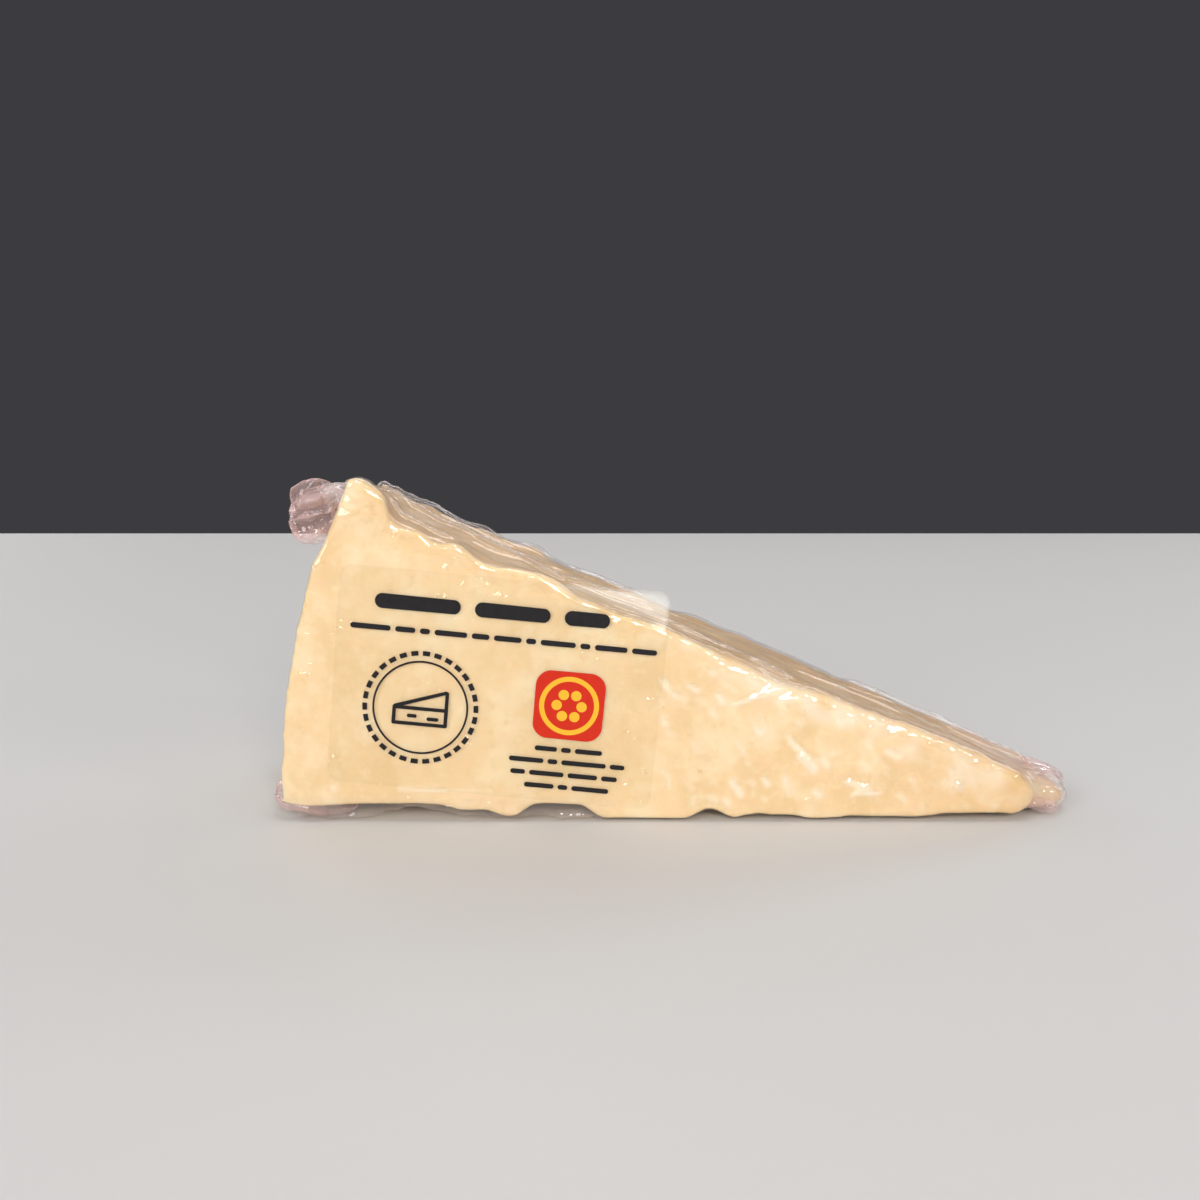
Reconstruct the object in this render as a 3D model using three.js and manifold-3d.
// A wedge of hard ewe's-milk cheese, shrink-wrapped in clear film, standing on one of its cut sides.
// The wedge is a slice of a drum-shaped wheel: the wheel's curved rind is at -X, its blunted middle
// at +X, and the slice's flat faces look along -Y (front) and +Y (back). The film is drawn tight over
// the cheese and bridges its chipped edges, so the sealed pack is one solid out to the film's surface.
// A clear, printed label lies on the front, and one corner of it stands free above the sloping side.
// Millimetres, +Z up. The origin is under the middle of the pack, on the surface it stands on.

import * as THREE from 'three';
import { mergeVertices } from 'three/addons/utils/BufferGeometryUtils.js';
import Module from 'manifold-3d';

const wasm = await Module();
wasm.setup();

// ---- Driving dimensions ------------------------------------------------------------------------

const WHEEL_RADIUS = 172; // the wheel is about 34 cm across
const SLICE_ANGLE = THREE.MathUtils.degToRad(22.3);
const TIP_RADIUS = 19; // the sharp tip is broken off this far from the wheel's middle
const RIND_THICKNESS = 43; // across the slice, at the rind
const TIP_THICKNESS = 32;
const TOP_EDGE_RADIUS = 3.2;
const BOTTOM_EDGE_RADIUS = 1.5;
const FRONT_Y = -RIND_THICKNESS / 2;

const RIND_LIP = 4.6; // the crust stands up by this much at the front top corner
const LIP_REACH = 7.5;
const TIP_SKEW = 4.5; // the broken tip runs on this much further at the back
const RIND_LEAN = 0.9; // the rind leans back this much at its top, and out at its foot

const LABEL_WIDTH = 65.5;
const LABEL_HEIGHT = 44.5;
const LABEL_THICKNESS = 0.4;
const LABEL_GAP = 0.4;
const LABEL_CORNER = 2.4;
const LABEL_TURN = THREE.MathUtils.degToRad(-5.5);
const LABEL_MIDDLE = new THREE.Vector2(-128, 27.8); // from the wheel's middle, along X and up Z

// Where the film arches clear of the table along the front bottom edge: x, half width and rise.
const ARCHES = [
  { x: -147.5, half: 14, rise: 2.3 },
  { x: -84.5, half: 6.5, rise: 2.0 },
  { x: -71.5, half: 6, rise: 0.7 },
  { x: -53.5, half: 9, rise: 1.0 },
  { x: -37.5, half: 6, rise: 1.7 },
  { x: -27.5, half: 4, rise: 0.9 },
];
const ARCH_DEPTH = 11; // how far back an arch reaches under the pack

// Long folds of spare film on the sloping side: place across the slice (0 front, 1 back), how far
// from the wheel's middle each starts and ends, height and width.
const FOLDS = [
  { across: 0.2, from: 130, to: 68, height: 0.8, width: 2.6 },
  { across: 0.46, from: 160, to: 94, height: 1.1, width: 3.2 },
  { across: 0.7, from: 152, to: 46, height: 0.9, width: 2.8 },
  { across: 0.9, from: 163, to: 100, height: 1.6, width: 3.4 },
];
const FOLD_STEPS = 14;

// The bag's closing seam: a low, wavy fin that runs down the rind from the top ear to the foot.
const SEAM = { across: 0.56, top: 60, foot: 5, height: 3.6, width: 1.5 };

// Gathered ends of the bag, as crumpled lobes: centre from the wheel's middle, and half sizes.
const LOBES = [
  { centre: [-166.2, 2, 64.6], radii: [9.2, 5.5, 3.6], tilt: 2, seed: 1 }, // top ear, rolled edge
  { centre: [-167.2, 3, 58.0], radii: [7.0, 3.8, 5.6], tilt: -8, seed: 2 }, // top ear, hanging flap
  { centre: [-159.5, 6, 63.6], radii: [7.0, 9.0, 4.0], tilt: 10, seed: 3 }, // where it leaves the rind
  { centre: [-170.0, -15, 4.6], radii: [5.4, 5.8, 4.5], tilt: -20, seed: 4 }, // foot of the rind
  { centre: [-164.5, -17, 2.2], radii: [7.5, 4.8, 2.4], tilt: 4, seed: 5 },
  { centre: [-170.0, 9, 4.2], radii: [4.6, 7.5, 3.8], tilt: 8, seed: 6 }, // its far side
  { centre: [-16.6, -15.5, 5.0], radii: [6.0, 4.4, 4.3], tilt: 18, seed: 7 }, // tail beyond the tip
  { centre: [-16.6, -12, 7.2], radii: [5.8, 2.8, 2.0], tilt: 8, seed: 8 },
  { centre: [-14.5, 3, 4.4], radii: [5.2, 6.5, 3.6], tilt: 12, seed: 9 },
];
const LOBE_CRUMPLE = 0.3;

const CHEESE_COLOUR = 0xfbe0b0;
const LABEL_COLOUR = 0xf3ead8;

// ---- Small helpers -----------------------------------------------------------------------------

const clamp01 = (t) => Math.min(1, Math.max(0, t));
const smooth = (t) => clamp01(t) ** 2 * (3 - 2 * clamp01(t));
const mix = (a, b, t) => a + (b - a) * t;

// A repeatable number from -1 to 1 for each corner of a unit grid.
function gridValue(i, j, k) {
  const s = Math.sin(i * 127.1 + j * 311.7 + k * 74.7) * 43758.5453;
  return 2 * (s - Math.floor(s)) - 1;
}

// Smooth noise from -1 to 1, with features one unit across.
function noise(x, y, z) {
  const [i, j, k] = [Math.floor(x), Math.floor(y), Math.floor(z)];
  const [u, v, w] = [smooth(x - i), smooth(y - j), smooth(z - k)];
  const row = (b, c) => mix(gridValue(i, j + b, k + c), gridValue(i + 1, j + b, k + c), u);
  return mix(mix(row(0, 0), row(1, 0), v), mix(row(0, 1), row(1, 1), v), w);
}

// Moves every vertex of a geometry by a function of its place.
function warp(geometry, move) {
  const place = geometry.getAttribute('position');
  const point = new THREE.Vector3();
  for (let i = 0; i < place.count; i++) {
    point.fromBufferAttribute(place, i);
    move(point);
    place.setXYZ(i, point.x, point.y, point.z);
  }
  return geometry;
}

// A geometry as a manifold solid, with the vertices that faces share merged.
function solid(geometry) {
  const bare = geometry.clone();
  bare.deleteAttribute('normal');
  bare.deleteAttribute('uv');
  const merged = mergeVertices(bare, 1e-4);
  return new wasm.Manifold(
    new wasm.Mesh({
      numProp: 3,
      vertProperties: new Float32Array(merged.getAttribute('position').array),
      triVerts: new Uint32Array(merged.index.array),
    }),
  );
}

// A manifold solid as a geometry that can be drawn.
function geometryOf(made) {
  const mesh = made.getMesh();
  const geometry = new THREE.BufferGeometry();
  geometry.setAttribute('position', new THREE.BufferAttribute(mesh.vertProperties, 3));
  geometry.setIndex(new THREE.BufferAttribute(mesh.triVerts, 1));
  geometry.computeVertexNormals();
  return geometry;
}

// ---- The wedge's form --------------------------------------------------------------------------

const LENGTH = WHEEL_RADIUS - TIP_RADIUS;
const share = (along) => clamp01(along / LENGTH); // 0 at the rind, 1 at the tip
const thickness = (along) => mix(RIND_THICKNESS, TIP_THICKNESS, share(along));
const rise = (along) => (WHEEL_RADIUS - along) * SLICE_ANGLE; // arc from the bottom to the top

// One of `count` steps along a side of this size, closer together where the edges are rounded.
function spread(t, count, size, radius) {
  const step = Math.round(t * count);
  const near = [0, radius * 0.3, radius];
  if (step < 3) return near[step];
  if (count - step < 3) return size - near[count - step];
  return mix(radius, size - radius, (step - 2) / (count - 4));
}

// A point of a box with sharp edges, moved onto the same box with round ones.
function roundEdges(point, size, radius) {
  const inner = point.clone().clamp(
    new THREE.Vector3(radius, radius, radius),
    size.clone().subScalar(radius),
  );
  const out = point.clone().sub(inner);
  return out.lengthSq() === 0 ? point : inner.add(out.setLength(radius));
}

// How far the front face swells towards -Y at a place on it.
const frontSwell = (x, z) => 0.35 * noise(x / 13 + 5, 0, z / 12) + 0.12 * noise(x / 5, 7, z / 5);

// How far an arch in the film lifts the bottom edge at x.
function archRise(x) {
  const lifts = ARCHES.map((arch) => {
    const t = Math.abs(x - arch.x) / arch.half;
    return t < 1 ? arch.rise * Math.cos((t * Math.PI) / 2) ** 2 : 0;
  });
  return Math.max(...lifts);
}

const ALONG_STEPS = 46;
const ACROSS_STEPS = 10;
const UP_STEPS = 12;

function wedge() {
  const box = new THREE.BoxGeometry(1, 1, 1, ALONG_STEPS, ACROSS_STEPS, UP_STEPS);
  return warp(box, (point) => {
    const wanted = mix(BOTTOM_EDGE_RADIUS, TOP_EDGE_RADIUS, point.z + 0.5);
    const along = spread(point.x + 0.5, ALONG_STEPS, LENGTH, wanted);
    const size = new THREE.Vector3(LENGTH, thickness(along), rise(along));
    const radius = Math.min(wanted, 0.45 * size.z);
    const across = spread(point.y + 0.5, ACROSS_STEPS, size.y, radius);
    const up = spread(point.z + 0.5, UP_STEPS, size.z, radius);
    const rounded = roundEdges(new THREE.Vector3(along, across, up), size, radius);

    const back = rounded.y / size.y; // 0 front, 1 back
    const high = rounded.z / size.z; // 0 bottom, 1 sloping side
    const reach = WHEEL_RADIUS - rounded.x;
    const angle = high * SLICE_ANGLE;
    point.set(-reach * Math.cos(angle), FRONT_Y + rounded.y, reach * Math.sin(angle));

    // The crust's lip at the top of the rind, and the rind's slight lean.
    const nearRind = Math.exp(-((rounded.x / LIP_REACH) ** 2));
    point.z += smooth(high * 1.6 - 0.6) * RIND_LIP * nearRind * mix(1, 0.45, back);
    point.x += RIND_LEAN * nearRind * (2 * high - 1);
    point.x += TIP_SKEW * smooth(back * 1.7) * Math.exp(-(((LENGTH - rounded.x) / 12) ** 2));

    // Shallow relief: lumps on the sloping side, a nearly flat front and back, a worn rind.
    const { x, y, z } = point;
    point.z += 0.6 * smooth(high * 4 - 3) * noise(x / 9, y / 8, 3);
    point.y -= frontSwell(x, z) * smooth(1 - back * 3);
    point.y += 0.5 * noise(x / 14, 20, z / 12) * smooth(back * 3 - 2);
    point.x += 0.5 * noise(40, y / 12, z / 11) * smooth(1 - rounded.x / 12);

    // The bottom edges: arches at the front, gentle waves at the back.
    const low = smooth(1 - high * 4);
    point.z += low * archRise(x) * Math.exp(-(((y - FRONT_Y) / ARCH_DEPTH) ** 2));
    point.z += low * Math.max(0, 1.2 * noise(x / 11, 9, 0)) * smooth(back * 2.5 - 1.5);
    point.z = Math.max(point.z, 0);
  });
}

// A six-sided roll of film along a line of points. It tapers to nothing at both ends, and its half
// sizes along X, Y and Z are given.
function roll(points, sizes) {
  const route = new THREE.CatmullRomCurve3(points);
  const section = new THREE.Shape();
  for (let i = 0; i < 6; i++) {
    const turn = (i * Math.PI) / 3;
    if (i === 0) section.moveTo(Math.cos(turn), Math.sin(turn));
    else section.lineTo(Math.cos(turn), Math.sin(turn));
  }
  const made = new THREE.ExtrudeGeometry(section, { steps: FOLD_STEPS, extrudePath: route });
  // The roll is made one unit thick, and then sized about the nearest point of its route.
  const stations = route.getSpacedPoints(FOLD_STEPS);
  return warp(made, (point) => {
    let best = 0;
    stations.forEach((station, i) => {
      if (station.distanceToSquared(point) < stations[best].distanceToSquared(point)) best = i;
    });
    const taper = mix(0.2, 1, Math.sin((best / FOLD_STEPS) * Math.PI) ** 0.5);
    const offset = point.clone().sub(stations[best]).multiply(sizes);
    point.copy(stations[best]).addScaledVector(offset, taper);
  });
}

// A fold that lies half sunk on the sloping side.
function fold({ across, from, to, height, width }, index) {
  const points = [];
  for (let i = 0; i <= 6; i++) {
    const reach = mix(from, to, i / 6);
    const place = across + 0.03 * Math.sin(i * 1.9 + index * 2.3);
    points.push(
      new THREE.Vector3(
        -reach * Math.cos(SLICE_ANGLE),
        FRONT_Y + place * thickness(WHEEL_RADIUS - reach),
        reach * Math.sin(SLICE_ANGLE),
      ),
    );
  }
  return roll(points, new THREE.Vector3(height, width / 2, height));
}

// The fin down the rind.
function seam() {
  const points = [];
  for (let i = 0; i <= 7; i++) {
    const z = mix(SEAM.top, SEAM.foot, i / 7);
    const y = FRONT_Y + SEAM.across * RIND_THICKNESS + 1.3 * Math.sin(i * 2.1);
    points.push(new THREE.Vector3(-Math.sqrt(WHEEL_RADIUS ** 2 - z ** 2), y, z));
  }
  return roll(points, new THREE.Vector3(SEAM.height, SEAM.width / 2, 1));
}

// A lobe of crumpled film: a ball pulled out of round by sharp creases.
function lobe({ centre, radii, tilt, seed }) {
  const ball = new THREE.SphereGeometry(1, 15, 10);
  warp(ball, (point) => {
    const { x, y, z } = point;
    const crease = Math.abs(noise(x * 1.7 + seed * 7, y * 1.7, z * 1.7));
    const ripple = noise(x * 3.5, y * 3.5 + seed * 5, z * 3.5);
    point.multiplyScalar(1 + LOBE_CRUMPLE * (0.25 - 1.6 * crease + 0.5 * ripple));
    point.set(point.x * radii[0], point.y * radii[1], point.z * radii[2]);
  });
  ball.rotateY(THREE.MathUtils.degToRad(tilt));
  ball.translate(...centre);
  return warp(ball, (point) => {
    point.z = Math.max(point.z, 0);
  });
}

// ---- The label ---------------------------------------------------------------------------------

const LABEL_COLUMNS = 18;
const LABEL_ROWS = 12;

function label() {
  const sheet = new THREE.BoxGeometry(1, 1, 1, LABEL_COLUMNS, 1, LABEL_ROWS);
  return warp(sheet, (point) => {
    // Pull the four corners in to an arc.
    const half = new THREE.Vector2(LABEL_WIDTH / 2, LABEL_HEIGHT / 2);
    const flat = new THREE.Vector2(point.x * LABEL_WIDTH, point.z * LABEL_HEIGHT);
    const core = flat.clone().clamp(
      half.clone().negate().addScalar(LABEL_CORNER),
      half.clone().subScalar(LABEL_CORNER),
    );
    const out = flat.clone().sub(core);
    if (out.x !== 0 && out.y !== 0) {
      const square = Math.max(Math.abs(out.x), Math.abs(out.y));
      flat.copy(core.add(out.setLength(square)));
    }
    flat.rotateAround(new THREE.Vector2(), LABEL_TURN).add(LABEL_MIDDLE);

    // It follows the front face, and leans back where it stands above the sloping side.
    const slopeZ = Math.abs(flat.x) * Math.tan(SLICE_ANGLE);
    const above = flat.y - slopeZ + 2;
    const lean = above > 0 ? 0.022 * above ** 2 : 0;
    const face = FRONT_Y - frontSwell(flat.x, flat.y) * smooth(1 - above / 6);
    point.x = flat.x;
    point.z = flat.y;
    point.y = face - LABEL_GAP - LABEL_THICKNESS * (0.5 - point.y) + lean;
  });
}

// ---- Assembly ----------------------------------------------------------------------------------

function sealedPack() {
  const pieces = [wedge(), seam(), ...FOLDS.map(fold), ...LOBES.map(lobe)];
  return geometryOf(pieces.map(solid).reduce((joined, piece) => joined.add(piece)));
}

const group = new THREE.Group();

const pack = new THREE.Mesh(
  sealedPack(),
  new THREE.MeshStandardMaterial({ color: CHEESE_COLOUR, roughness: 0.25, metalness: 0 }),
);
pack.name = 'sealed_pack';

const sticker = new THREE.Mesh(
  geometryOf(solid(label())),
  new THREE.MeshStandardMaterial({ color: LABEL_COLOUR, roughness: 0.2, metalness: 0 }),
);
sticker.name = 'clear_label';

group.add(pack, sticker);

const extent = new THREE.Box3().setFromObject(group);
const middle = extent.getCenter(new THREE.Vector3());
group.position.set(-middle.x, -middle.y, -extent.min.z);

export default group;
